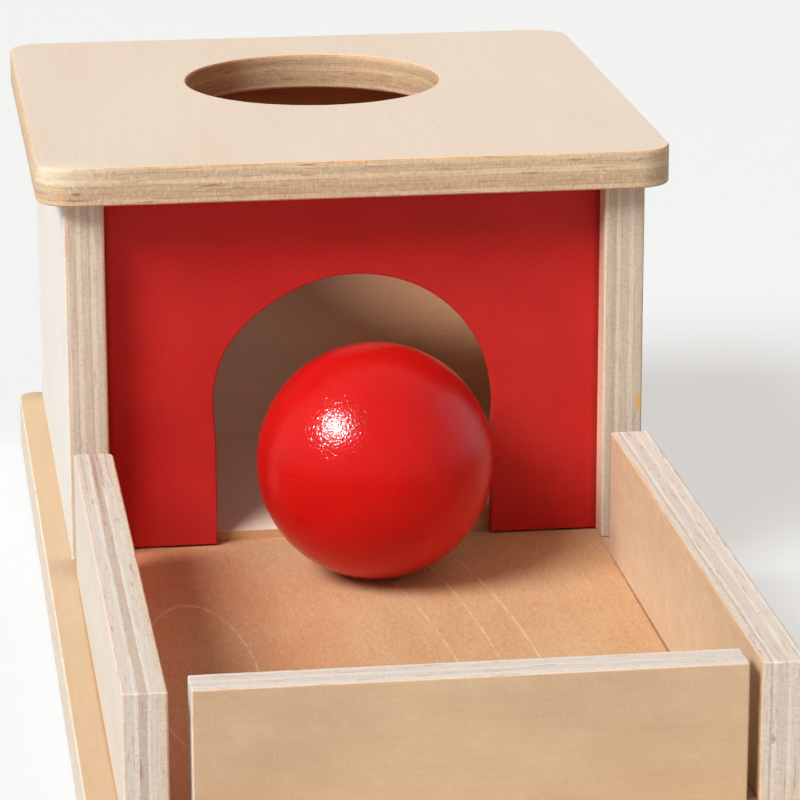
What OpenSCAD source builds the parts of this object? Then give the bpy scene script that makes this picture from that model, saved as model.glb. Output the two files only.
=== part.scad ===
/* [Box] */
// Width over the two side walls
box_width = 124; // [110:1:150]
// Depth of the side walls, front to back
box_depth = 128; // [115:1:160]
// Height of the walls between the base board and the top board
wall_height = 79; // [72:1:110]
// Thickness of the side walls
side_thickness = 8.6; // [7:0.1:12]
// Thickness of the rear wall
rear_thickness = 8.6; // [7:0.1:12]

/* [Base board] */
// Thickness of the base board
base_thickness = 12; // [9:0.5:18]
// How far the base board stands out beyond each side of the box
base_side_margin = 5.5; // [2:0.5:20]
// How far the base board stands out behind the box
base_rear_margin = 5; // [2:0.5:20]
// Length of the base board in front of the box
tray_length = 161; // [120:1:240]
// Radius of the base board's upright corners
base_corner = 4; // [2:0.5:12]

/* [Top board] */
// Thickness of the top board
top_thickness = 8.2; // [7:0.1:12]
// How far the top board stands out beyond each side of the box
top_side_overhang = 5.5; // [2:0.5:12]
// How far the top board stands out in front of the box
top_front_overhang = 5; // [2:0.5:12]
// How far the top board stands out behind the box
top_rear_overhang = 5; // [2:0.5:12]
// Radius of the top board's upright corners
top_corner = 8; // [3:0.5:12]

/* [Drop hole] */
// Diameter of the hole that the ball is dropped through
hole_diameter = 58; // [54:0.5:70]
// Distance from the side walls' front edges back to the hole's centre
hole_setback = 81; // [70:0.5:90]
// Width of the softened edge round the hole
hole_ease = 0.6; // [0.2:0.1:1.5]

/* [Front panel] */
// Thickness of the red front panel
panel_thickness = 3; // [2.5:0.1:5]
// How far the red panel's face is set back from the side walls' front edges
panel_recess = 6; // [3:0.5:15]
// Depth of the grooves that hold the red panel
groove_depth = 3; // [1.5:0.1:4]

/* [Doorway] */
// Width of the doorway's straight lower part
doorway_width = 60; // [54:0.5:70]
// Diameter of the round cut that makes the doorway's head
arch_diameter = 61.2; // [60:0.1:72]
// Height of the round cut's centre above the base board
arch_height = 29; // [27:0.5:36]
// How far the round cut sits to the left of the straight part
arch_offset = 0.4; // [0:0.1:1]

/* [Ramp] */
// Thickness of the ramp's sheet
ramp_thickness = 3; // [2.5:0.1:5]
// Slope of the ramp in degrees
ramp_slope = 15; // [11:0.5:18]
// Height of the ramp's front edge above the base board
toe_height = 2; // [1:0.1:2.5]
// Depth of the batten under the ramp's rear end
batten_depth = 15; // [13:0.5:20]
// Height of the batten at its front face
batten_height = 12; // [8:0.5:14]

/* [Tray rails] */
// Thickness of the three rails
rail_thickness = 8.2; // [7:0.1:12]
// Height of the three rails
rail_height = 27; // [22:0.5:40]
// How far the side rails' outer faces stand in from the box's sides
rail_inset = 0.5; // [0:0.1:4]
// Open space between the box and the side rails' rear ends
rail_box_gap = 10; // [2:0.5:20]
// Distance from the rails' front ends to the base board's front edge
rail_front_margin = 6; // [2:0.5:20]
// Open space at the left end of the front rail
left_end_gap = 4.1; // [0.5:0.1:8]
// Open space at the right end of the front rail
right_end_gap = 2.3; // [0.5:0.1:8]

/* [Ball] */
// Diameter of the ball
ball_diameter = 50; // [45:0.5:52]
// Distance of the resting ball's centre in front of the side walls
ball_setout = 17.6; // [10:0.1:60]
// Distance of the resting ball's centre to the right of the middle
ball_sideways = 1.4; // [0:0.1:10]

/* [Fixings] */
// Diameter of the wood screws' shanks
screw_diameter = 3; // [2.5:0.1:4]
// Length of the wood screws
screw_length = 30; // [24:1:34]
// Diameter of the screws' countersunk heads
screw_head = 6; // [5:0.1:8]
// Diameter of the dowels
dowel_diameter = 4; // [3:0.1:5]
// Length of the dowels
dowel_length = 16; // [12:0.5:20]
// How far a dowel goes into the face of a board
dowel_sink = 4.5; // [3:0.1:5.5]

/* [Hidden] */
// Softened edges of the boards
board_ease = 0.5;
top_ease = 0.8;

// Clearance of glued joints, pilot holes and dowel holes, and of the ball from what it rests on
fit_gap = 0.1;
ball_gap = 0.2;

// Space between the red panel and the ramp's front edge
ramp_front_gap = 0.7;

// Distance from a wall's or a rail's end to its nearest fixing
wall_end_margin = 12;
rail_end_margin = 20;

// Screw heads: how deep they are sunk, the height of their rim and cone, and their cross recess
head_sink = 0.3;
head_rim = 0.4;
tip_length = 5;
recess_width = 0.9;
recess_span = 3.4;
recess_depth = 1.6;

// Softened ends of the dowels
dowel_ease = 0.6;

// Overrun of every cut
cut_over = 1;

// Places along a wall, a rail or a joint, as shares of its half width or of its height
rear_fixing_share = 0.5;
batten_dowel_share = 0.7;
front_screw_share = 0.55;
rear_dowel_height_shares = [0.35, 0.8];
batten_dowel_height_share = 0.5;

// Steps of a full turn on round surfaces
$fn = 96;

// Box: half widths and the places of its walls, with the origin under the middle of the base board
base_length = tray_length + box_depth + base_rear_margin;
base_half = box_width / 2 + base_side_margin;
base_rear = base_length / 2;
base_front = -base_length / 2;
base_top = base_thickness;
wall_rear = base_rear - base_rear_margin;
wall_front = wall_rear - box_depth;
wall_top = base_top + wall_height;
box_half = box_width / 2;
inner_half = box_half - side_thickness;
rear_face = wall_rear - rear_thickness;

// Top board
top_half = box_half + top_side_overhang;
top_front = wall_front - top_front_overhang;
top_rear = wall_rear + top_rear_overhang;
hole_centre = [0, wall_front + hole_setback];

// Red panel, its grooves and its doorway
panel_front = wall_front + panel_recess;
panel_rear = panel_front + panel_thickness;
panel_half = inner_half + groove_depth - fit_gap;
arch_centre = [-arch_offset, base_top + arch_height];

// Ramp: the height of its upper face and of its underside at a place along the box
ramp_front = panel_rear + ramp_front_gap;
ramp_rear = rear_face - fit_gap;
ramp_half = inner_half - fit_gap;
ramp_upright = ramp_thickness / cos(ramp_slope);
batten_front = rear_face - batten_depth;
function ramp_top(y) = base_top + toe_height + (y - ramp_front) * tan(ramp_slope);
function ramp_under(y) = ramp_top(y) - ramp_upright;
toe_rear = ramp_front + (ramp_upright - toe_height) / tan(ramp_slope);
batten_low = ramp_under(batten_front) - fit_gap - batten_height;

// Rails
rail_outer = box_half - rail_inset;
rail_inner = rail_outer - rail_thickness;
rail_front = base_front + rail_front_margin;
rail_rear = wall_front - rail_box_gap;
rail_top = base_top + rail_height;
rail_middle = rail_outer - rail_thickness / 2;
front_rail_middle = rail_front + rail_thickness / 2;

// Centre of the resting ball
ball_centre = [ball_sideways, wall_front - ball_setout, base_top + ball_gap + ball_diameter / 2];

// Places of the fixings, evenly spaced between the ends of what they hold
wall_first = panel_rear + wall_end_margin;
wall_last = rear_face - wall_end_margin;
wall_rows = [wall_first, (wall_first + wall_last) / 2, wall_last];
rail_first = rail_front + rail_end_margin;
rail_last = rail_rear - rail_end_margin;
rail_rows = [rail_first, (rail_first + rail_last) / 2, rail_last];
side_middle = box_half - side_thickness / 2;
rear_middle = wall_rear - rear_thickness / 2;
rear_fixing = inner_half * rear_fixing_share;

side_screw_places = [for (side = [-1, 1]) for (y = wall_rows) [side * side_middle, y]];
rear_screw_places = [for (side = [-1, 1]) [side * rear_fixing, rear_middle]];
side_rail_screw_places = [for (side = [-1, 1]) for (y = rail_rows) [side * rail_middle, y]];
front_rail_screw_places = [for (side = [-1, 1]) [side * rail_inner * front_screw_share, front_rail_middle]];
rail_screw_places = concat(side_rail_screw_places, front_rail_screw_places);
top_dowel_places = concat(side_screw_places, rear_screw_places);
rear_dowel_places = [for (side = [-1, 1]) for (share = rear_dowel_height_shares)
    [side, base_top + wall_height * share]];
batten_dowel_places = [for (side = [-1, 1]) side * inner_half * batten_dowel_share];
batten_dowel_height = batten_low + batten_height * batten_dowel_height_share;

BOARDS = ["base_board", "left_side_wall", "right_side_wall", "rear_wall", "front_panel", "top_board",
    "ramp", "ramp_batten", "left_rail", "right_rail", "front_rail", "ball"];
function numbered(name, places) = [for (i = [1 : len(places)]) str(name, "_", i)];

// Rectangle with softened corners
module eased_rectangle(across, up, ease) {
    polygon([[ease, 0], [across - ease, 0], [across, ease], [across, up - ease],
        [across - ease, up], [ease, up], [0, up - ease], [0, ease]]);
}

// Straight board between two corners, with every edge softened
module eased_board(low, high, ease = board_ease) {
    size = high - low;
    translate(low) intersection() {
        linear_extrude(size.z) eased_rectangle(size.x, size.y, ease);
        rotate([90, 0, 90]) linear_extrude(size.x) eased_rectangle(size.y, size.z, ease);
        translate([0, size.y, 0]) rotate([90, 0, 0]) linear_extrude(size.y) eased_rectangle(size.x, size.z, ease);
    }
}

// Board with round upright corners and softened edges
module round_board(low, high, corner, ease) {
    size = high - low;
    translate(low) {
        translate([corner, 0, 0]) rotate([90, 0, 90])
            linear_extrude(size.x - 2 * corner) eased_rectangle(size.y, size.z, ease);
        translate([0, size.y - corner, 0]) rotate([90, 0, 0])
            linear_extrude(size.y - 2 * corner) eased_rectangle(size.x, size.z, ease);
        for (x = [corner, size.x - corner]) for (y = [corner, size.y - corner])
            translate([x, y, 0]) rotate_extrude()
                polygon([[0, 0], [corner - ease, 0], [corner, ease], [corner, size.z - ease],
                    [corner - ease, size.z], [0, size.z]]);
    }
}

// Outline of a countersunk screw that stands on its head, widened for the hole that it goes into
module screw_body(gap = 0) {
    shank = screw_diameter / 2 + gap;
    head = screw_head / 2 + gap;
    low = gap > 0 ? -cut_over : head_sink;
    cone_start = head_sink + head_rim;
    cone_end = cone_start + (screw_head - screw_diameter) / 2;
    tip = screw_length + gap;
    rotate_extrude() polygon([[0, low], [head, low], [head, cone_start], [shank, cone_end],
        [shank, tip - tip_length], [0, tip]]);
}

// Wood screw with its cross recess
module wood_screw(place) {
    translate([place.x, place.y, 0]) difference() {
        screw_body();
        for (turn = [45, 135]) rotate([0, 0, turn])
            translate([-recess_span / 2, -recess_width / 2, head_sink - cut_over])
                cube([recess_span, recess_width, cut_over + recess_depth]);
    }
}

// Holes that the screws at some places need
module screw_holes(places) {
    for (place = places) translate([place.x, place.y, 0]) screw_body(fit_gap);
}

// Dowel along +Z, with its joint at zero and its shorter end upward
module dowel_body() {
    radius = dowel_diameter / 2;
    low = dowel_sink - dowel_length;
    rotate_extrude() polygon([[0, low], [radius - dowel_ease, low], [radius, low + dowel_ease],
        [radius, dowel_sink - dowel_ease], [radius - dowel_ease, dowel_sink], [0, dowel_sink]]);
}

// Hole for a dowel, longer and wider by the glue's clearance
module dowel_hole() {
    translate([0, 0, dowel_sink - dowel_length - fit_gap])
        cylinder(h = dowel_length + 2 * fit_gap, r = dowel_diameter / 2 + fit_gap);
}

// Places and turns of the three kinds of dowels
module at_top(place) {
    translate([place.x, place.y, wall_top]) children();
}
module at_rear(place) {
    translate([place[0] * inner_half, rear_middle, place[1]]) rotate([0, place[0] * 90, 0]) children();
}
module at_batten(x) {
    translate([x, rear_face, batten_dowel_height]) rotate([-90, 0, 0]) children();
}

// Long board that carries the box and the tray
module base_board() {
    color([0.80, 0.60, 0.43]) difference() {
        round_board([-base_half, base_front, 0], [base_half, base_rear, base_top], base_corner, board_ease);
        screw_holes(concat(side_screw_places, rear_screw_places, rail_screw_places));
    }
}

// Right side wall of the box, with its groove for the red panel
module side_wall() {
    difference() {
        eased_board([inner_half, wall_front, base_top], [box_half, wall_rear, wall_top]);
        translate([inner_half - cut_over, panel_front - fit_gap, base_top - cut_over])
            cube([cut_over + groove_depth, panel_thickness + 2 * fit_gap, wall_height + 2 * cut_over]);
        screw_holes([for (y = wall_rows) [side_middle, y]]);
        for (y = wall_rows) at_top([side_middle, y]) dowel_hole();
        for (share = rear_dowel_height_shares) at_rear([1, base_top + wall_height * share]) dowel_hole();
    }
}
module left_side_wall() {
    color([0.90, 0.84, 0.76]) mirror([1, 0, 0]) side_wall();
}
module right_side_wall() {
    color([0.90, 0.84, 0.76]) side_wall();
}

// Rear wall between the side walls
module rear_wall() {
    color([0.88, 0.80, 0.70]) difference() {
        eased_board([-inner_half, rear_face, base_top], [inner_half, wall_rear, wall_top]);
        screw_holes(rear_screw_places);
        for (place = rear_screw_places) at_top(place) dowel_hole();
        for (place = rear_dowel_places) at_rear(place) dowel_hole();
        for (x = batten_dowel_places) at_batten(x) dowel_hole();
    }
}

// Red panel with its doorway: a straight slot under a slightly wider round cut
module front_panel() {
    color([0.72, 0.13, 0.12]) translate([0, panel_rear, 0]) rotate([90, 0, 0])
        linear_extrude(panel_thickness) difference() {
            translate([-panel_half, base_top + fit_gap])
                square([2 * panel_half, wall_height - 2 * fit_gap]);
            translate([-doorway_width / 2, base_top - cut_over])
                square([doorway_width, arch_height + cut_over]);
            translate(arch_centre) circle(d = arch_diameter);
        }
}

// Top board with the drop hole and blind holes for its dowels
module top_board() {
    color([0.92, 0.85, 0.77]) difference() {
        round_board([-top_half, top_front, wall_top], [top_half, top_rear, wall_top + top_thickness],
            top_corner, top_ease);
        translate([hole_centre.x, hole_centre.y, wall_top]) drop_hole();
        for (place = top_dowel_places) at_top(place) dowel_hole();
    }
}
module drop_hole() {
    radius = hole_diameter / 2;
    rotate_extrude() polygon([[0, -cut_over], [radius + hole_ease + cut_over, -cut_over],
        [radius, hole_ease], [radius, top_thickness - hole_ease],
        [radius + hole_ease + cut_over, top_thickness + cut_over], [0, top_thickness + cut_over]]);
}

// Sloping sheet with a flat toe on the base board
module ramp() {
    color([0.84, 0.70, 0.56]) along_width(ramp_half)
        polygon([[ramp_front, base_top], [toe_rear, base_top], [ramp_rear, ramp_under(ramp_rear)],
            [ramp_rear, ramp_top(ramp_rear)], [ramp_front, base_top + toe_height]]);
}

// Batten that carries the ramp's rear end
module ramp_batten() {
    color([0.86, 0.74, 0.60]) difference() {
        along_width(ramp_half)
            polygon([[batten_front, batten_low], [rear_face, batten_low],
                [rear_face, ramp_under(rear_face) - fit_gap], [batten_front, ramp_under(batten_front) - fit_gap]]);
        for (x = batten_dowel_places) at_batten(x) dowel_hole();
    }
}

// Side view drawn in Y and Z, carried across the box from one side to the other
module along_width(half) {
    translate([-half, 0, 0]) rotate([90, 0, 90]) linear_extrude(2 * half) children();
}

// Rails of the tray
module left_rail() {
    color([0.87, 0.72, 0.58]) difference() {
        eased_board([-rail_outer, rail_front, base_top], [-rail_inner, rail_rear, rail_top]);
        screw_holes(side_rail_screw_places);
    }
}
module right_rail() {
    color([0.87, 0.72, 0.58]) difference() {
        eased_board([rail_inner, rail_front, base_top], [rail_outer, rail_rear, rail_top]);
        screw_holes(side_rail_screw_places);
    }
}
module front_rail() {
    color([0.87, 0.72, 0.58]) difference() {
        eased_board([-rail_inner + left_end_gap, rail_front, base_top],
            [rail_inner - right_end_gap, rail_front + rail_thickness, rail_top]);
        screw_holes(front_rail_screw_places);
    }
}

// Red ball, resting on the tray's floor before the doorway
module ball() {
    color([0.78, 0.10, 0.08]) translate(ball_centre) sphere(d = ball_diameter);
}

// One screw or one dowel of each kind
module side_screw(i) {
    color([0.75, 0.73, 0.68]) wood_screw(side_screw_places[i - 1]);
}
module rear_screw(i) {
    color([0.75, 0.73, 0.68]) wood_screw(rear_screw_places[i - 1]);
}
module rail_screw(i) {
    color([0.75, 0.73, 0.68]) wood_screw(rail_screw_places[i - 1]);
}
module top_dowel(i) {
    color([0.82, 0.68, 0.50]) at_top(top_dowel_places[i - 1]) dowel_body();
}
module rear_dowel(i) {
    color([0.82, 0.68, 0.50]) at_rear(rear_dowel_places[i - 1]) dowel_body();
}
module batten_dowel(i) {
    color([0.82, 0.68, 0.50]) at_batten(batten_dowel_places[i - 1]) dowel_body();
}

base_board();
left_side_wall();
right_side_wall();
rear_wall();
front_panel();
top_board();
ramp();
ramp_batten();
left_rail();
right_rail();
front_rail();
ball();
for (i = [1 : len(side_screw_places)])
    side_screw(i);
for (i = [1 : len(rear_screw_places)])
    rear_screw(i);
for (i = [1 : len(rail_screw_places)])
    rail_screw(i);
for (i = [1 : len(top_dowel_places)])
    top_dowel(i);
for (i = [1 : len(rear_dowel_places)])
    rear_dowel(i);
for (i = [1 : len(batten_dowel_places)])
    batten_dowel(i);
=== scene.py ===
"""Looks of a wooden object permanence box: a plywood box, a railed tray and a red ball."""
import math

import bmesh
import bpy
from mathutils import Matrix, Vector


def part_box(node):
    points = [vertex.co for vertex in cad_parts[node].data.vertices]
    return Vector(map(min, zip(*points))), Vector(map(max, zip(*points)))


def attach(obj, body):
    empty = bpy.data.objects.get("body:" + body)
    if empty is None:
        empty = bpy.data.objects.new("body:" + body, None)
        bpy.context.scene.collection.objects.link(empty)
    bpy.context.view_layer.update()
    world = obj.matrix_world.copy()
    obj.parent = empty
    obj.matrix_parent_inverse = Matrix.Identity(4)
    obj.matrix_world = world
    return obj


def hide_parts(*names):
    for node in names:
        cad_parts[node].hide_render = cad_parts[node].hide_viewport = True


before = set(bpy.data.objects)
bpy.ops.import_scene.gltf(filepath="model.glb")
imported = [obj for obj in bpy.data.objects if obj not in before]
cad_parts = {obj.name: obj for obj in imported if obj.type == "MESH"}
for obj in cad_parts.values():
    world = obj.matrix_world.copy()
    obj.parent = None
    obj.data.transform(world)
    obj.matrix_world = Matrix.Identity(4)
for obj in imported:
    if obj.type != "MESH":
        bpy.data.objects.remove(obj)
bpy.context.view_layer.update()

MM = 0.001
X, Y, Z = range(3)

# Box and tray, as the solids give them
base_low, base_high = map(Vector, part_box("base_board"))
top_low, top_high = map(Vector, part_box("top_board"))
wall_low, wall_high = map(Vector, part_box("right_side_wall"))
left_low, left_high = map(Vector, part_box("left_side_wall"))
rear_low, rear_high = map(Vector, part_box("rear_wall"))
panel_low, panel_high = map(Vector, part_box("front_panel"))
front_low = Vector(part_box("front_rail")[0])
ball_low, ball_high = map(Vector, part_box("ball"))
ball_centre = (ball_low + ball_high) / 2
ball_radius = (ball_high.z - ball_low.z) / 2

# Sizes that the solids' boxes don't give
base_corner = 4 * MM
top_corner = 8 * MM
rail_corner = 2 * MM
hole_radius = 29 * MM
hole_centre = Vector((0, wall_low.y + 81 * MM, 0))
doorway_half = 30 * MM
arch_radius = 30.6 * MM
arch_centre = Vector((-0.4 * MM, 0, base_high.z + 29 * MM))
panel_foot_gap = 0.4 * MM
screw_radius = 1.5 * MM
head_rim = 0.4 * MM
head_play = 0.1 * MM

# How the sawn arch strays from its circle: each wave's place and width in degrees, and its height in
# millimetres
arch_waves = [(48, 32, 0.65), (118, 16, -0.4), (152, 12, 0.4), (184, 12, -0.7)]

# How wide the edges are softened, and how finely curves are divided
wall_ease = 0.4 * MM
rail_ease = 0.4 * MM
top_ease = 0.5 * MM
base_ease = 0.6 * MM
hole_ease = 0.7 * MM
doorway_ease = 0.35 * MM
ease_steps = 3
corner_steps = 12
hole_steps = 96
arch_steps = 128
head_steps = 48
ball_divisions = 6

# How deep and how far past their work the cutting tools reach, and how near a point counts as in place
hole_cut_depth = 30 * MM
arch_cut_depth = 20 * MM
overrun = 1 * MM
overlap = 0.05 * MM
touch = 0.05 * MM

# Angle up to which faces are shaded as one, and angle from which the edge between them is softened
smooth_angle = math.radians(35)
sharp_angle = math.radians(30)

# Where the base's tones change across it and in front of the tray, from the first place to the second
# Over the first span the tray's far left turns rosy: painted red bounce light in the left rail's shade
red_bounce_span = (-54 * MM, -38 * MM)
ruddy_span = (-48 * MM, 20 * MM)
strip_span = (53 * MM, 54.5 * MM)
front_span = (front_low.y + 2 * MM, front_low.y + 1 * MM)

# Growth rings that show as pale lines on the tray's floor: middle and half widths across and along the
# tray, and the stretch across it over which each fades in, all in millimetres
growth_rings = [((-40.5, -62), (11.2, 43.5), -60, -55), ((8, -80), (19.5, 105), 10, 20),
                ((0, -80), (19.5, 110), 5, 14), ((-9, -82), (20, 96), 0, 8)]

# Camera: where it stands, where it looks and its lens
camera_place = Vector((-100.4, -782.1, 278.7)) * MM
camera_heading = math.radians(7.835)
camera_dip = math.radians(16.211)
camera_roll = math.radians(0.099)
camera_lens = 175.44
camera_film = 36
camera_near = 50 * MM

# Lamps and the middle of the surround's light, as the ball sees them: degrees to the left of the box's
# front and degrees up, and how many degrees wide and high they are
key_way = (57, 42)
key_across = (30, 25)
glint_way = (61, 42)
glint_across = (14, 12)
window_way = (-100, 18)
window_across = (50, 50)
fill_way = (-30, 48)
lamp_distance = 24

# Power and colour of the lamps, and strength and colour of the surround's light
key_power = 7050
glint_power = 28000
window_power = 1050
fill_least = 0.16
fill_most = 0.5
lamp_white = (1.0, 0.99, 0.98)
window_blue = (0.7, 0.75, 1.0)
fill_colour = (1.0, 0.87, 0.77, 1.0)

# Floor: half its width in metres, and how much of its own white and of the light on it shows
floor_half = 6
floor_glow = 0.65
floor_shade = (0.315, 0.350, 0.376, 1)


def tone(red, green, blue):
    """Linear colour of a tone as it is seen on a screen, from 0 to 255."""
    def linear(value):
        share = value / 255
        return share / 12.92 if share <= 0.04045 else ((share + 0.055) / 1.055) ** 2.4
    return (linear(red), linear(green), linear(blue), 1.0)


black = tone(0, 0, 0)
white = tone(255, 255, 255)
backdrop_white = tone(243, 243, 242)
floor_white = tone(237, 233, 229)
cut_fibre = tone(250, 242, 230)
dark_fibre = tone(150, 108, 82)

# Walls: face veneers as a light, a dark and a line tone, then the plies and the glue between them
outer_veneer = tone(245, 230, 212), tone(244, 228, 210), tone(224, 202, 180)
# Inner veneer: the same birch browner and darker, as painted shade for the faces inside the box
inner_shade_veneer = tone(226, 180, 140), tone(218, 168, 126), tone(200, 144, 104)
wall_light = tone(224, 214, 196)
wall_grey = tone(208, 198, 182)
wall_dull = tone(200, 184, 164)
wall_glue = tone(176, 140, 112)

# Rails: their plies and the glue between them
rail_light = tone(224, 219, 212)
rail_grey = tone(212, 202, 194)
rail_edge = tone(222, 203, 184)
rail_beige = tone(217, 208, 198)
rail_dull = tone(198, 182, 168)
rail_glue = tone(196, 164, 142)

# Gloss of sanded plywood
wood_roughness = 0.6
wood_specular = 0.06


class Recipe:
    """A tree of shader nodes, and the ways in which values run through it."""

    def __init__(self, tree):
        self.tree = tree

    def add(self, kind, **settings):
        """A new node with its settings."""
        node = self.tree.nodes.new(kind)
        for key, value in settings.items():
            setattr(node, key, value)
        return node

    def feed(self, socket, value):
        """A value or another node's output into a socket."""
        if isinstance(value, bpy.types.NodeSocket):
            self.tree.links.new(value, socket)
        else:
            socket.default_value = value

    def sum(self, operation, first, second=0.0, clamp=False):
        """Two values put together by a named operation."""
        node = self.add("ShaderNodeMath", operation=operation, use_clamp=clamp)
        self.feed(node.inputs[0], first)
        self.feed(node.inputs[1], second)
        return node.outputs[0]

    def spread(self, value, low, high, to_low=0.0, to_high=1.0, kind="SMOOTHSTEP"):
        """A value's range from low to high, carried to another range."""
        node = self.add("ShaderNodeMapRange", interpolation_type=kind)
        node.inputs["From Min"].default_value = low
        node.inputs["From Max"].default_value = high
        node.inputs["To Min"].default_value = to_low
        node.inputs["To Max"].default_value = to_high
        self.feed(node.inputs["Value"], value)
        return node.outputs["Result"]

    def glow(self, kind, colour, strength=1.0):
        """Shader that sends out light by itself: a background's or a surface's."""
        node = self.add(kind)
        node.inputs["Color"].default_value = colour
        self.feed(node.inputs["Strength"], strength)
        return node.outputs[0]

    def seen_as(self, shader, seen):
        """One shader for the light on other pieces, and another for what is seen, also in gloss."""
        path = self.add("ShaderNodeLightPath")
        eye = self.sum("MAXIMUM", path.outputs["Is Camera Ray"], path.outputs["Is Glossy Ray"])
        eye = self.sum("MAXIMUM", eye, path.outputs["Is Transmission Ray"])
        mix = self.add("ShaderNodeMixShader")
        self.feed(mix.inputs["Fac"], eye)
        self.feed(mix.inputs[1], shader)
        self.feed(mix.inputs[2], seen)
        return mix.outputs[0]


class Finish(Recipe):
    """A material, and the nodes that make its colour, gloss and relief. Sizes and places are in
    millimetres, but a place along a single axis is in metres, as the solids have it."""

    def __init__(self, name):
        self.material = bpy.data.materials.new(name)
        self.material.use_nodes = True
        super().__init__(self.material.node_tree)
        self.shader = self.tree.nodes["Principled BSDF"]
        self.place = self.add("ShaderNodeTexCoord")
        self.relief = None

    def stretched(self, size, move=(0, 0, 0)):
        """Place on the object, divided by the size of the pattern along each axis."""
        mapping = self.add("ShaderNodeMapping", vector_type="POINT")
        mapping.inputs["Scale"].default_value = [1 / (length * MM) for length in size]
        mapping.inputs["Location"].default_value = move
        self.feed(mapping.inputs["Vector"], self.place.outputs["Object"])
        return mapping.outputs[0]

    def noise(self, size, detail=2.0, rough=0.5, distortion=0.0):
        """Cloudy pattern with blobs of a size along each axis."""
        node = self.add("ShaderNodeTexNoise")
        self.feed(node.inputs["Vector"], self.stretched(size))
        node.inputs["Scale"].default_value = 1.0
        node.inputs["Detail"].default_value = detail
        node.inputs["Roughness"].default_value = rough
        node.inputs["Distortion"].default_value = distortion
        return node.outputs["Fac"]

    def blend(self, share, first, second, kind="MIX"):
        """First colour with a share of the second."""
        node = self.add("ShaderNodeMix", data_type="RGBA", blend_type=kind)
        self.feed(node.inputs[0], share)
        self.feed(node.inputs[6], first)
        self.feed(node.inputs[7], second)
        return node.outputs[2]

    def tint(self, colour, stain, pattern, start, full, share=1.0):
        """Colour with a stain that comes in as a pattern's value goes from start to full, up to a share."""
        return self.blend(self.spread(pattern, start, full, 0.0, share), colour, stain)

    def where(self, axis):
        """Place along an axis."""
        node = self.add("ShaderNodeSeparateXYZ")
        self.feed(node.inputs[0], self.place.outputs["Object"])
        return node.outputs[axis]

    def past(self, axis, start, end):
        """0 before one place along an axis and 1 beyond another."""
        return self.spread(self.where(axis), start, end)

    def on_face(self, axis):
        """1 on the two faces across an axis and 0 on the sides between them."""
        node = self.add("ShaderNodeSeparateXYZ")
        self.feed(node.inputs[0], self.place.outputs["Normal"])
        return self.spread(self.sum("ABSOLUTE", node.outputs[axis]), 0.75, 0.9)

    def distance(self, middle, size):
        """Distance from a place, counted in sizes along each axis."""
        counted = self.stretched(size, move=[-place / length for place, length in zip(middle, size)])
        length = self.add("ShaderNodeVectorMath", operation="LENGTH")
        self.feed(length.inputs[0], counted)
        return length.outputs["Value"]

    def patch(self, middle, size, ragged=0.5):
        """Ragged patch round a place: 1 inside it and 0 outside."""
        rough = self.spread(self.noise(even(0.8), detail=3), 0.2, 0.8, -ragged, ragged, "LINEAR")
        return self.spread(self.sum("ADD", self.distance(middle, size), rough), 1.2, 0.5)

    def ring(self, middle, half_widths, line=0.4, height=1000):
        """Thin broken line round a place on a level face. It stands as an endless tube's wall would."""
        distance = self.distance((*middle, 0), (*half_widths, height))
        away = self.sum("ABSOLUTE", self.sum("SUBTRACT", distance, 1.0))
        broken = self.spread(self.noise((2, 5, 4), detail=3), 0.35, 0.6, 0.05, 0.5)
        return self.sum("MULTIPLY", self.spread(away, line / min(half_widths), 0.0), broken)

    def bands(self, value, stops):
        """Colour by a value, from (value, colour) stops."""
        node = self.add("ShaderNodeValToRGB")
        elements = node.color_ramp.elements
        elements[0].position, elements[0].color = stops[0]
        elements[1].position, elements[1].color = stops[-1]
        for position, colour in stops[1:-1]:
            elements.new(position).color = colour
        self.feed(node.inputs["Fac"], value)
        return node.outputs["Color"]

    def raise_by(self, height, distance, strength=1.0):
        """Relief from a height, on top of the relief so far."""
        node = self.add("ShaderNodeBump")
        node.inputs["Distance"].default_value = distance * MM
        node.inputs["Strength"].default_value = strength
        self.feed(node.inputs["Height"], height)
        if self.relief is not None:
            self.feed(node.inputs["Normal"], self.relief)
        self.relief = node.outputs["Normal"]
        self.feed(self.shader.inputs["Normal"], self.relief)

    def colour(self, value):
        self.feed(self.shader.inputs["Base Color"], value)

    def gloss(self, roughness, specular=0.5):
        self.feed(self.shader.inputs["Roughness"], roughness)
        self.shader.inputs["Specular IOR Level"].default_value = specular


def even(size):
    """Pattern size that is the same along all three axes."""
    return [size] * 3


def along(axis, lengthwise, across):
    """Pattern size that is long along one axis and short along the other two."""
    size = even(across)
    size[axis] = lengthwise
    return size


def place_camera():
    camera = bpy.data.objects.new("camera", bpy.data.cameras.new("camera"))
    camera.data.lens = camera_lens
    camera.data.sensor_width = camera_film
    camera.data.clip_start = camera_near
    turn = Matrix.Rotation(-camera_heading, 4, "Z") @ Matrix.Rotation(math.pi / 2 - camera_dip, 4, "X")
    camera.matrix_world = Matrix.Translation(camera_place) @ turn @ Matrix.Rotation(-camera_roll, 4, "Z")
    bpy.context.collection.objects.link(camera)
    bpy.context.scene.camera = camera


def toward(way):
    """Direction of a place in the sky, from its degrees to the left of the box's front and up."""
    turn, lift = map(math.radians, way)
    return Vector((-math.sin(turn) * math.cos(lift), -math.cos(turn) * math.cos(lift), math.sin(lift)))


def lamp(name, way, across, power, colour):
    """Soft lamp that faces the ball, as wide and high as its angles across."""
    light = bpy.data.lights.new(name, "AREA")
    light.shape = "ELLIPSE"
    light.size, light.size_y = [2 * lamp_distance * math.tan(math.radians(angle / 2)) for angle in across]
    light.energy = power
    light.color = colour
    piece = bpy.data.objects.new(name, light)
    ray = toward(way)
    piece.matrix_world = (Matrix.Translation(ball_centre + ray * lamp_distance)
                          @ ray.to_track_quat("Z", "Y").to_matrix().to_4x4())
    piece.visible_camera = False
    bpy.context.collection.objects.link(piece)
    return piece


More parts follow.
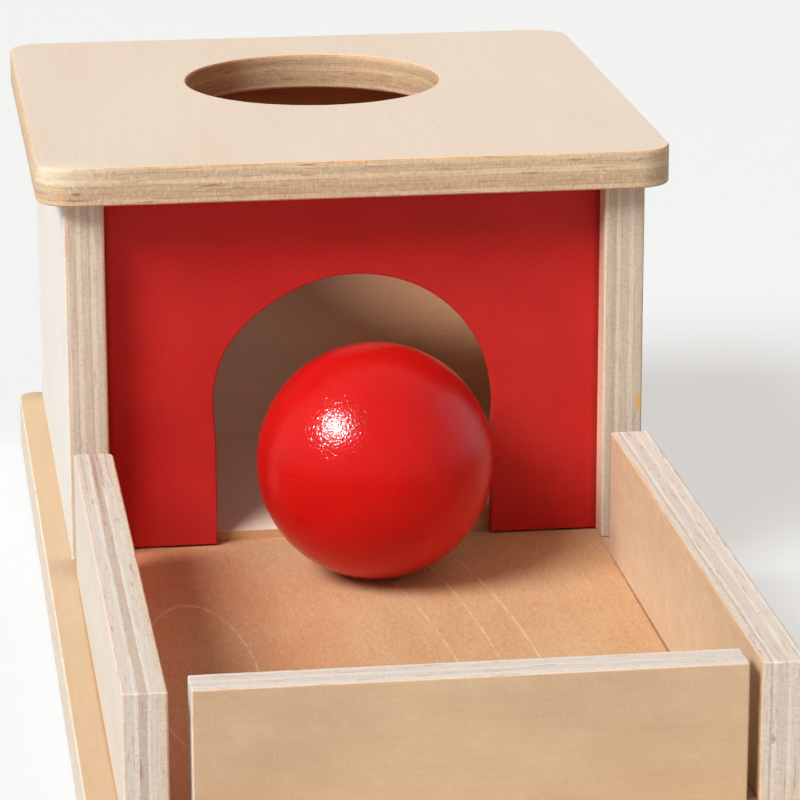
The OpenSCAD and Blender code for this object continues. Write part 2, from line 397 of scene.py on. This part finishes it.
def place_lamps():
    """A soft key from the left front, and its glint and a window's, which only the gloss shows."""
    lamp("key", key_way, key_across, key_power, lamp_white).visible_glossy = False
    lamp("glint", glint_way, glint_across, glint_power, lamp_white).visible_diffuse = False
    lamp("window", window_way, window_across, window_power, window_blue).visible_diffuse = False


def place_surround():
    """Warm light from all round, strongest from above the right front, behind a white backdrop."""
    world = bpy.data.worlds.new("surround")
    bpy.context.scene.world = world
    world.use_nodes = True
    world.node_tree.nodes.clear()
    sky = Recipe(world.node_tree)
    nearness = sky.add("ShaderNodeVectorMath", operation="DOT_PRODUCT")
    sky.feed(nearness.inputs[0], sky.add("ShaderNodeTexCoord").outputs["Generated"])
    sky.feed(nearness.inputs[1], toward(fill_way))
    strength = sky.spread(nearness.outputs["Value"], 0.0, 1.0, fill_least, fill_most)
    fill = sky.glow("ShaderNodeBackground", fill_colour, strength)
    backdrop = sky.glow("ShaderNodeBackground", backdrop_white)
    out = sky.add("ShaderNodeOutputWorld")
    sky.feed(out.inputs["Surface"], sky.seen_as(fill, backdrop))


def add_object(name, bm):
    """Object from a bmesh, with its mesh in place and smooth between its sharp edges."""
    mesh = bpy.data.meshes.new(name)
    bmesh.ops.recalc_face_normals(bm, faces=bm.faces)
    for face in bm.faces:
        face.smooth = True
    bm.to_mesh(mesh)
    bm.free()
    mesh.set_sharp_from_angle(angle=smooth_angle)
    piece = bpy.data.objects.new(name, mesh)
    bpy.context.collection.objects.link(piece)
    return piece


def dress(piece, material, node, body="box"):
    """Material, body and CAD node of a new piece."""
    piece.data.materials.clear()
    piece.data.materials.append(material)
    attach(piece, body)
    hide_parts(node)


def flatten(piece):
    """Shades flat faces flat, right up to their softened edges."""
    piece.modifiers.new("flat_faces", "WEIGHTED_NORMAL").keep_sharp = True


def repaint(node, material):
    """A CAD node that keeps its shape and gets a finish."""
    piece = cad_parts[node]
    for slot in piece.material_slots:
        slot.material = material


def block(low, high):
    """Plain block between two corners, as a bmesh."""
    bm = bmesh.new()
    bmesh.ops.create_cube(bm, size=1)
    size = Vector(high) - Vector(low)
    bmesh.ops.scale(bm, vec=size, verts=bm.verts)
    bmesh.ops.translate(bm, vec=(Vector(high) + Vector(low)) / 2, verts=bm.verts)
    return bm


def add_cone(bm, middle, radius, depth, steps, end_radius=None, turn=Matrix()):
    """Cone round a place, upright unless it is turned, and a cylinder unless it has an end radius."""
    bmesh.ops.create_cone(bm, cap_ends=True, segments=steps, radius1=radius,
                          radius2=radius if end_radius is None else end_radius, depth=depth,
                          matrix=Matrix.Translation(middle) @ turn)


def bevel(bm, edges, width, steps):
    bmesh.ops.bevel(bm, geom=list(edges), offset=width, offset_type="OFFSET", segments=steps, profile=0.5,
                    affect="EDGES", material=-1, clamp_overlap=True)


def run(edge):
    """Direction in which an edge runs."""
    return (edge.verts[0].co - edge.verts[1].co).normalized()


def upright(edge):
    return abs(run(edge).z) > 0.99


def through_panel(edge):
    """An edge that runs through the red sheet's thickness."""
    return abs(run(edge).y) > 0.5


def sharp(edge):
    return edge.is_manifold and edge.calc_face_angle(0) > sharp_angle


def at_corner(edge, corner):
    """An edge that stands at a corner's place in plan."""
    return all((v.co.xy - corner.xy).length < touch for v in edge.verts)


def on_hole(point):
    return abs(math.hypot(point.x - hole_centre.x, point.y - hole_centre.y) - hole_radius) < touch


def on_doorway(point):
    """A point well inside the red sheet's outer sides and top."""
    inside = panel_low.x + overrun < point.x < panel_high.x - overrun
    return inside and point.z < panel_high.z - overrun


def board(low, high, ease, corner=0):
    """Board with softened edges, and with round upright corners where a radius is given."""
    bm = block(low, high)
    if corner:
        bevel(bm, [e for e in bm.edges if upright(e)], corner, corner_steps)
    bevel(bm, [e for e in bm.edges if sharp(e)], ease, ease_steps)
    return bm


def subtract(bm, tool):
    """Takes one bmesh out of another with an exact cut."""
    body_mesh = bpy.data.meshes.new("cut_body")
    tool_mesh = bpy.data.meshes.new("cut_tool")
    bm.to_mesh(body_mesh)
    tool.to_mesh(tool_mesh)
    tool.free()
    body = bpy.data.objects.new("cut_body", body_mesh)
    cutter = bpy.data.objects.new("cut_tool", tool_mesh)
    for each in (body, cutter):
        bpy.context.collection.objects.link(each)
    cut = body.modifiers.new("cut", "BOOLEAN")
    cut.object = cutter
    cut.operation = "DIFFERENCE"
    cut.solver = "EXACT"
    shown = body.evaluated_get(bpy.context.evaluated_depsgraph_get())
    bm.clear()
    bm.from_mesh(shown.to_mesh())
    shown.to_mesh_clear()
    for each, mesh in ((body, body_mesh), (cutter, tool_mesh)):
        bpy.data.objects.remove(each)
        bpy.data.meshes.remove(mesh)


def birch(wood, grain, light, dark, line, clouds=(90, 24), strength=1.0):
    """Face veneer: soft clouds, fine lines along the grain and short pores."""
    cloud = wood.noise(along(grain, *clouds))
    lines = wood.noise(along(grain, 26, 0.5), detail=3, rough=0.6, distortion=0.2)
    pores = wood.noise(along(grain, 1.6, 0.3))
    veneer = wood.tint(light, dark, cloud, start=0.3, full=0.7)
    veneer = wood.tint(veneer, line, lines, start=0.4, full=0.75, share=0.3 * strength)
    return wood.tint(veneer, line, pores, start=0.55, full=0.8, share=0.35 * strength)


def flecked(wood, veneer, strength):
    """Face veneer with soft blotches, and with short flecks that stand up across its grain."""
    blotches = wood.noise((9, 9, 5), detail=3, rough=0.6, distortion=0.8)
    flecks = wood.noise(along(Z, 1.6, 0.5), rough=0.6)
    veneer = wood.tint(veneer, tone(196, 152, 118), blotches, start=0.45, full=0.75, share=0.3 * strength)
    veneer = wood.tint(veneer, tone(232, 208, 178), blotches, start=0.5, full=0.25, share=0.35 * strength)
    veneer = wood.tint(veneer, tone(190, 146, 112), flecks, start=0.52, full=0.75, share=0.3 * strength)
    return wood.tint(veneer, tone(236, 212, 184), flecks, start=0.48, full=0.25, share=0.3 * strength)


def layered(wood, depth, plies, glue, half_joint=0.01):
    """Plies, each a share of the depth and a tone, with a thin and broken line of glue between two."""
    stops = []
    joints = [(0.0, black)]
    start = 0.0
    for share, colour in plies:
        if start:
            joints += [(start - half_joint, black), (start, white), (start + half_joint, black)]
        stops += [(start + half_joint, colour), (start + share - half_joint, colour)]
        start += share
    broken = wood.spread(wood.noise(even(4), detail=3), 0.42, 0.68, 0.0, 0.6)
    glued = wood.sum("MULTIPLY", wood.bands(depth, joints), broken)
    return wood.blend(glued, wood.bands(depth, stops), glue)


def plywood(wood, axis, low, high, plies, veneer, glue, marks=(), edge_shades=(), rough=1.0,
            specular=wood_specular):
    """Plywood edge and face veneer of a board between two corners, with its plies stacked along an axis.
    A mark is a place, a size, a tone and a share. An edge shade is a share and a tone of painted shade,
    multiplied into the edge alone."""
    depth = wood.sum("DIVIDE", wood.sum("SUBTRACT", wood.where(axis), low[axis]), high[axis] - low[axis])
    wander = wood.spread(wood.noise(along(axis, 9, 34), detail=3), 0.2, 0.8, -0.025, 0.025, "LINEAR")
    edge = layered(wood, wood.sum("ADD", depth, wander, clamp=True), plies, glue)

    # Fine streaks along the plies, and the dots and dashes of cut fibres
    streaks = wood.noise(along(axis, 0.35, 12), detail=4, rough=0.6)
    dots = wood.noise(along(axis, 0.8, 0.42), rough=0.7)
    dashes = wood.noise(along(axis, 0.45, 7), detail=3, rough=0.6)
    edge = wood.tint(edge, glue, streaks, start=0.4, full=0.75, share=0.3 * rough)
    edge = wood.tint(edge, glue, dots, start=0.52, full=0.78, share=0.42 * rough)
    edge = wood.tint(edge, cut_fibre, streaks, start=0.4, full=0.15, share=0.3 * rough)
    edge = wood.tint(edge, cut_fibre, dots, start=0.48, full=0.22, share=0.25 * rough)
    edge = wood.tint(edge, dark_fibre, dashes, start=0.58, full=0.72, share=0.45 * rough)

    # Painted shade multiplied into the plywood edge, such as on the top board's hole wall
    for share, stain in edge_shades:
        edge = wood.blend(share, edge, stain, "MULTIPLY")
    colour = wood.blend(wood.on_face(axis), edge, veneer)
    for middle, size, stain, share in marks:
        colour = wood.blend(wood.sum("MULTIPLY", wood.patch(middle, size), share), colour, stain)
    wood.colour(colour)
    wood.gloss(wood_roughness, specular)
    wood.raise_by(streaks, 0.03, 0.5)
    wood.raise_by(dots, 0.03, 0.5)
    return wood.material


def make_base():
    """Long board, redder in the tray than on the strips outside it, with painted red bounce light in the
    shade at the tray's far left, and with the screws' countersinks below.
    """
    wood = Finish("base_plywood")
    warm = birch(wood, Y, tone(208, 176, 136), tone(202, 161, 122), tone(184, 136, 98), (44, 16), 0.6)
    ruddy = birch(wood, Y, tone(208, 157, 120), tone(202, 143, 106), tone(182, 121, 86), (44, 16), 0.6)
    # Painted red bounce light: rosy tones for the tray's far left, in the left rail's shade
    red_bounce = birch(wood, Y, tone(240, 166, 132), tone(235, 155, 120), tone(212, 130, 96), (44, 16), 0.6)
    pale = birch(wood, Y, tone(206, 181, 150), tone(202, 175, 143), tone(191, 159, 125), (60, 14))
    ruddy = wood.blend(wood.past(X, *red_bounce_span), red_bounce, ruddy)
    tray = wood.blend(wood.past(X, *ruddy_span), ruddy, warm)
    flecks = wood.noise((0.42, 1.8, 1.8), rough=0.6, distortion=0.6)
    tray = wood.tint(tray, tone(178, 116, 78), flecks, start=0.5, full=0.72, share=0.32)
    tray = wood.tint(tray, tone(230, 200, 164), flecks, start=0.48, full=0.26, share=0.28)
    mottles = wood.noise((3, 6, 6), detail=3, rough=0.6)
    pale = wood.tint(pale, tone(196, 158, 122), mottles, start=0.45, full=0.8, share=0.35)
    strips = wood.spread(wood.sum("ABSOLUTE", wood.where(X)), *strip_span)
    in_front = wood.past(Y, *front_span)
    veneer = wood.blend(wood.sum("MAXIMUM", strips, in_front), tray, pale)
    behind = wood.sum("SUBTRACT", 1.0, in_front)
    for middle, half_widths, start, end in growth_rings:
        ring = wood.sum("MULTIPLY", wood.ring(middle, half_widths), wood.past(X, start * MM, end * MM))
        veneer = wood.blend(wood.sum("MULTIPLY", ring, behind), veneer, tone(238, 214, 188))

    light = tone(221, 213, 201)
    grey = tone(210, 198, 183)
    plies = [(0.07, light), (0.13, grey), (0.10, light), (0.14, grey), (0.12, light), (0.14, grey),
             (0.10, light), (0.13, grey), (0.07, light)]
    # Painted shade: thin dark lines on the base along the foot of the right rail's inner face and the left
    # rail's outer face
    rail_foot_shade = [((53.2, -66, 12), (0.35, 78, 3), tone(120, 70, 42), 0.55),
             ((-61.6, -66, 12), (0.35, 78, 3), tone(190, 136, 88), 0.6)]
    bm = board(base_low, base_high, base_ease, base_corner)
    countersink(bm, [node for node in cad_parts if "_screw_" in node])
    base = add_object("base_board_veneered", bm)
    glue = tone(205, 176, 146)
    flatten(base)
    dress(base, plywood(wood, Z, base_low, base_high, plies, veneer, glue, rail_foot_shade), "base_board")


def countersink(bm, nodes):
    """Bores in the base's underside for the screws' heads: straight round the rim, then tapered."""
    straight = bmesh.new()
    tapered = bmesh.new()
    for node in nodes:
        low, high = map(Vector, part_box(node))
        head = (high.x - low.x) / 2 + head_play
        rim_top = low.z + head_rim
        taper = head - screw_radius
        middle = Vector(((low.x + high.x) / 2, (low.y + high.y) / 2, 0))
        add_cone(straight, middle, head, 2 * rim_top, head_steps)
        middle.z = rim_top - overlap + taper / 2
        add_cone(tapered, middle, head, taper, head_steps, end_radius=screw_radius)
    subtract(bm, straight)
    subtract(bm, tapered)


def make_wall(node, axis, low, high, wood, plies, veneer, marks=(), specular=wood_specular):
    """Plywood wall between two corners, with its plies stacked along an axis."""
    wall = add_object(f"{node}_board", board(low, high, wall_ease))
    flatten(wall)
    dress(wall, plywood(wood, axis, low, high, plies, veneer, wall_glue, marks, specular=specular), node)


def make_right_wall():
    """Wall whose inner face is paler in front of the red sheet and browner behind it, as painted shade
    inside the box, with a drop of glue in front.
    """
    wood = Finish("right_wall_plywood")
    light, grey, dull = wall_light, wall_grey, wall_dull
    plies = [(0.08, light), (0.11, grey), (0.11, dull), (0.11, light), (0.21, grey), (0.13, light),
             (0.20, grey), (0.05, dull)]
    # Painted shade: the inner face is paler in front of the red sheet than behind it, inside the box
    in_front = birch(wood, Y, tone(222, 190, 163), tone(216, 180, 152), tone(200, 156, 126))
    inner = wood.blend(wood.past(Y, panel_low.y, panel_high.y), in_front, birch(wood, Y, *inner_shade_veneer))
    veneer = wood.blend(wood.past(X, wall_low.x, wall_high.x), inner, birch(wood, Y, *outer_veneer))
    glue_drop = ((61.3, 14, 42.6), (1.0, 1.4, 2.4), tone(226, 184, 92), 0.85)
    make_wall("right_side_wall", X, wall_low, wall_high, wood, plies, veneer, [glue_drop])


def make_left_wall():
    """Wall with an outer face painted paler than its other faces as a painted sheen, on top of its stronger
    gloss, and a burr on its front edge.
    """
    wood = Finish("left_wall_plywood")
    light, dull = wall_light, wall_dull
    rose = tone(210, 196, 182)
    plies = [(0.13, tone(228, 214, 196)), (0.13, rose), (0.03, dull), (0.13, light), (0.18, rose),
             (0.04, dull), (0.13, light), (0.15, rose), (0.08, tone(206, 172, 140))]
    # Painted sheen: near-white tones on the outer face, for the whitening that the key light and grazing
    # gloss give it
    sheen_pale_veneer = birch(wood, Y, tone(221, 218, 213), tone(217, 213, 206), tone(208, 199, 186))
    veneer = wood.blend(wood.past(X, left_low.x, left_high.x), sheen_pale_veneer, birch(wood, Y, *inner_shade_veneer))
    burr = ((-60.9, 14, 82), (0.8, 1.5, 4.2), tone(206, 172, 138), 0.5)
    make_wall("left_side_wall", X, left_low, left_high, wood, plies, veneer, [burr], specular=0.3)


def make_rear_wall():
    """Wall whose inner face is much browner than its outer face, as painted shade inside the box."""
    wood = Finish("rear_wall_plywood")
    light, grey = wall_light, wall_grey
    plies = [(0.08, light), (0.19, grey), (0.13, light), (0.20, grey), (0.13, light), (0.19, grey),
             (0.08, light)]
    # Painted shade: the inner face inside the box is browner than the outer face
    inner = birch(wood, X, tone(204, 136, 98), tone(194, 124, 88), tone(170, 100, 68))
    veneer = wood.blend(wood.past(Y, rear_low.y, rear_high.y), inner, birch(wood, X, *outer_veneer))
    make_wall("rear_wall", Y, rear_low, rear_high, wood, plies, veneer)


def make_top_board():
    """Board with round corners and the drop hole, with warm painted shade on the hole's wall, deeper on its
    left side.
    """
    bm = board(top_low, top_high, top_ease, top_corner)
    cut_hole(bm)
    top = add_object("top_board_with_hole", bm)

    wood = Finish("top_plywood")
    straw = tone(222, 203, 170)
    sand = tone(206, 185, 155)
    clay = tone(200, 173, 144)
    plies = [(0.04, tone(236, 172, 132)), (0.12, tone(214, 193, 160)), (0.20, clay),
             (0.17, tone(205, 182, 148)), (0.15, straw), (0.17, sand), (0.11, straw),
             (0.04, tone(226, 172, 112))]
    cream_corner = ((-62, 11, 97.6), (11, 6, 2.2), tone(244, 230, 206), 0.45)
    resin = ((-62.6, 10.5, 93.0), (1.9, 2.4, 0.8), tone(222, 160, 104), 0.6)
    knot = ((-59.4, 9, 93.7), (0.9, 1.2, 0.4), tone(140, 84, 60), 0.6)
    face = birch(wood, Y, tone(226, 212, 196), tone(223, 208, 191), tone(207, 187, 166), strength=0.7)
    hole_y = hole_centre.y / MM
    # Painted shade: the hole's wall is warm and darker, and darker still on its left side, where the rim
    # shades it
    hole_wall_shade = wood.patch((hole_centre.x / MM, hole_y, 95), (33, 33, 60), ragged=0)
    hole_left_shade = wood.patch((-22.5, hole_y + 18, 95), (14, 14, 60), ragged=0)
    edge_shades = [(hole_wall_shade, tone(240, 213, 186)), (hole_left_shade, tone(228, 203, 184))]
    marks = [cream_corner, resin, knot]
    flatten(top)
    dress(top, plywood(wood, Z, top_low, top_high, plies, face, wall_glue, marks, edge_shades, rough=1.6),
          "top_board")


def cut_hole(bm):
    """Round hole through a level board, with softened rims."""
    tool = bmesh.new()
    middle = (hole_centre.x, hole_centre.y, (top_low.z + top_high.z) / 2)
    add_cone(tool, middle, hole_radius, hole_cut_depth, hole_steps)
    subtract(bm, tool)
    rim = [e for e in bm.edges if sharp(e) and all(on_hole(v.co) for v in e.verts)]
    bevel(bm, rim, hole_ease, ease_steps)


def make_front_panel():
    """Painted sheet with a doorway that was sawn by hand: straight sides under an arch."""
    bm = block(panel_low + Vector((0, 0, panel_foot_gap)), panel_high)
    subtract(bm, block((-doorway_half, panel_low.y - overrun, panel_low.z - overrun),
                       (doorway_half, panel_high.y + overrun, arch_centre.z)))
    arch = bmesh.new()
    middle = (arch_centre.x, (panel_low.y + panel_high.y) / 2, arch_centre.z)
    lying = Matrix.Rotation(math.pi / 2, 4, "X")
    add_cone(arch, middle, arch_radius, arch_cut_depth, arch_steps, turn=lying)
    for point in arch.verts:
        angle = math.degrees(math.atan2(point.co.z - arch_centre.z, point.co.x - arch_centre.x))
        reach = 1 + stray(angle) * MM / arch_radius
        point.co.x = arch_centre.x + (point.co.x - arch_centre.x) * reach
        point.co.z = arch_centre.z + (point.co.z - arch_centre.z) * reach
    subtract(bm, arch)
    doorway = [e for e in bm.edges if all(on_doorway(v.co) for v in e.verts)]
    bevel(bm, [e for e in doorway if sharp(e) and not through_panel(e)], doorway_ease, ease_steps)
    panel = add_object("front_panel_painted", bm)
    flatten(panel)
    dress(panel, red_paint(), "front_panel")


def stray(angle):
    """How far the sawn arch strays from its circle, in millimetres, at an angle in degrees."""
    return sum(height * math.exp(-((angle % 360 - middle) / width) ** 2)
               for middle, width, height in arch_waves)


def red_paint():
    """Thin satin paint that shows the wood's grain and the roller's pebbles, with painted shade beside the
    grooves.
    """
    paint = Finish("red_paint")
    grain = paint.noise((9, 2, 0.6), detail=4, rough=0.6)
    pebbles = paint.noise(even(0.45), detail=3, rough=0.6)
    clouds = paint.noise((14, 14, 12), detail=3)
    red = paint.tint(tone(200, 34, 31), tone(192, 30, 27), clouds, start=0.3, full=0.7)
    red = paint.tint(red, tone(180, 28, 26), grain, start=0.5, full=0.8, share=0.3)
    red = paint.tint(red, tone(172, 24, 22), pebbles, start=0.5, full=0.8, share=0.4)
    red = paint.tint(red, tone(222, 62, 54), pebbles, start=0.5, full=0.2, share=0.25)
    # Painted shade: the paint turns dark red near its sides, where it meets the walls' grooves
    aside = paint.sum("ABSOLUTE", paint.where(X))
    red = paint.tint(red, tone(120, 18, 18), aside, start=51.6 * MM, full=53.2 * MM, share=0.55)
    paint.colour(red)
    paint.gloss(0.48, specular=0.24)
    paint.raise_by(grain, 0.03, 0.4)
    paint.raise_by(pebbles, 0.03, 0.6)
    return paint.material


def make_ramp():
    """Sheet with its grain across the box, painted paler on the left and browner on the right as painted
    light, and brown at its toe.
    """
    sheet = Finish("ramp_sheet")
    # Painted light: the left half is paler and cooler and the right half browner, as the light falls more
    # on the left part
    left = birch(sheet, X, tone(244, 222, 206), tone(238, 216, 200), tone(222, 196, 176), (60, 16))
    right = birch(sheet, X, tone(206, 164, 130), tone(198, 156, 122), tone(178, 134, 100), (60, 16))
    wood = sheet.blend(sheet.past(X, -doorway_half, doorway_half), left, right)
    sheet.colour(sheet.blend(sheet.on_face(Y), wood, tone(206, 164, 122)))
    sheet.gloss(wood_roughness, wood_specular)
    sheet.raise_by(sheet.noise((20, 0.6, 0.6), detail=3), 0.03, 0.5)
    for node in ("ramp", "ramp_batten"):
        repaint(node, sheet.material)


def make_rail(node, axis, grain, plies, tones, flecks, marks=(), rounded=False):
    """Plywood rail with flecked faces and, where asked, a round corner at its inner far end."""
    low, high = map(Vector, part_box(node))
    bm = block(low, high)
    if rounded:
        inner = [e for e in bm.edges if upright(e) and at_corner(e, high)]
        bevel(bm, inner, rail_corner, corner_steps // 2)
    bevel(bm, [e for e in bm.edges if sharp(e)], rail_ease, ease_steps)
    rail = add_object(f"{node}_board", bm)
    wood = Finish(f"{node}_plywood")
    veneer = flecked(wood, birch(wood, grain, *tones, clouds=(40, 16)), flecks)
    flatten(rail)
    dress(rail, plywood(wood, axis, low, high, plies, veneer, rail_glue, marks, rough=1.3), node)


def make_left_rail():
    """Rail with brown streaks along its top edge."""
    light, beige = rail_light, rail_beige
    plies = [(0.05, rail_edge), (0.20, beige), (0.11, light), (0.19, rail_dull), (0.08, light),
             (0.20, beige), (0.13, tone(216, 202, 184)), (0.04, tone(230, 184, 146))]
    tones = tone(219, 212, 201), tone(215, 206, 194), tone(205, 189, 172)
    brown = tone(160, 118, 92)
    streaks = [((-57.9, -12, 39), (0.45, 26, 2), brown, 0.5), ((-56.7, -8, 39), (0.35, 16, 2), brown, 0.55),
               ((-55.1, -4, 39), (0.3, 14, 2), brown, 0.35), ((-60.2, -8, 39), (0.3, 16, 2), brown, 0.35)]
    make_rail("left_rail", X, Y, plies, tones, 0.25, streaks, rounded=True)


def make_right_rail():
    """Rail with a knot in its front end and torn fibres along its top edge."""
    light, beige = rail_light, rail_beige
    plies = [(0.04, tone(216, 182, 150)), (0.14, beige), (0.05, rail_dull), (0.10, light),
             (0.25, rail_grey), (0.10, light), (0.18, beige), (0.11, light), (0.03, rail_edge)]
    tones = tone(211, 187, 158), tone(208, 182, 151), tone(194, 163, 131)
    knot = ((55.5, -141, 24.2), (0.6, 1.0, 0.9), tone(150, 118, 104), 0.6)
    torn = tone(222, 170, 124)
    tears = [((53.3, -20, 39), (0.6, 6, 0.6), torn, 0.6), ((53.3, -37, 39), (0.5, 8, 0.6), torn, 0.6)]
    make_rail("right_rail", X, Y, plies, tones, 0.8, [knot, *tears])


def make_front_rail():
    """Rail with pale and even plies."""
    chalk = tone(222, 217, 210)
    ash = tone(214, 207, 199)
    plies = [(0.04, rail_edge), (0.2, chalk), (0.2, ash), (0.16, chalk), (0.2, ash), (0.16, chalk),
             (0.04, rail_edge)]
    tones = tone(213, 185, 151), tone(203, 171, 140), tone(196, 163, 131)
    make_rail("front_rail", Y, X, plies, tones, 0.5)


def make_ball():
    """Ball from an evenly divided sphere, with the fine wrinkles of its lacquer."""
    bm = bmesh.new()
    bmesh.ops.create_icosphere(bm, subdivisions=ball_divisions, radius=ball_radius,
                               matrix=Matrix.Translation(ball_centre))
    ball = add_object("ball_lacquered", bm)
    lacquer = Finish("red_lacquer")
    clouds = lacquer.noise(even(16), detail=3)
    lacquer.colour(lacquer.tint(tone(203, 21, 18), tone(192, 18, 16), clouds, start=0.3, full=0.7))
    lacquer.gloss(0.16, specular=0.14)
    swayed = lacquer.add("ShaderNodeVectorMath", operation="ADD")
    lacquer.feed(swayed.inputs[0], lacquer.stretched(even(0.8)))
    lacquer.feed(swayed.inputs[1], lacquer.noise(even(1.2)))
    cells = lacquer.add("ShaderNodeTexVoronoi", feature="DISTANCE_TO_EDGE")
    cells.inputs["Scale"].default_value = 1.0
    lacquer.feed(cells.inputs["Vector"], swayed.outputs[0])
    lacquer.raise_by(lacquer.spread(cells.outputs["Distance"], 0.0, 0.3), 0.024)
    lacquer.raise_by(lacquer.noise(even(0.7)), 0.06)
    dress(ball, lacquer.material, "ball", body="ball")


def make_fixings():
    """Finishes of the steel screws and the beech dowels."""
    steel = Finish("screw_steel")
    steel.shader.inputs["Metallic"].default_value = 1.0
    brushed = steel.noise(even(0.4), detail=3)
    steel.colour(steel.blend(brushed, tone(196, 190, 176), tone(168, 162, 150)))
    steel.gloss(steel.spread(brushed, 0.3, 0.7, 0.28, 0.42))
    beech = Finish("dowel_beech")
    flecks = beech.noise(along(Z, 3, 0.5), detail=3)
    beech.colour(beech.blend(flecks, tone(222, 190, 150), tone(200, 162, 120)))
    beech.gloss(0.6)
    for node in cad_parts:
        if "_screw_" in node:
            repaint(node, steel.material)
        if "_dowel_" in node:
            repaint(node, beech.material)


def lay_floor():
    """Wide pale floor that the box's shadow falls on. What is seen of it is mostly its own white, with a
    share of the light and shadow on it."""
    bm = bmesh.new()
    bmesh.ops.create_grid(bm, x_segments=1, y_segments=1, size=floor_half)
    floor = add_object("studio_floor", bm)
    paper = Finish("floor_paper")
    fibres = paper.noise(even(3), detail=3)
    paper.colour(paper.blend(fibres, tone(186, 185, 183), tone(190, 189, 187)))
    paper.gloss(0.8, specular=0.1)
    shade = paper.add("ShaderNodeBsdfDiffuse")
    shade.inputs["Color"].default_value = floor_shade
    both = paper.add("ShaderNodeAddShader")
    paper.feed(both.inputs[0], paper.glow("ShaderNodeEmission", floor_white, floor_glow))
    paper.feed(both.inputs[1], shade.outputs[0])
    seen = paper.seen_as(paper.shader.outputs[0], both.outputs[0])
    paper.feed(paper.tree.nodes["Material Output"].inputs["Surface"], seen)
    floor.data.materials.append(paper.material)


bpy.context.scene.view_settings.view_transform = "Standard"
place_camera()
place_lamps()
place_surround()
make_base()
make_right_wall()
make_left_wall()
make_rear_wall()
make_top_board()
make_front_panel()
make_ramp()
make_left_rail()
make_right_rail()
make_front_rail()
make_ball()
make_fixings()
lay_floor()
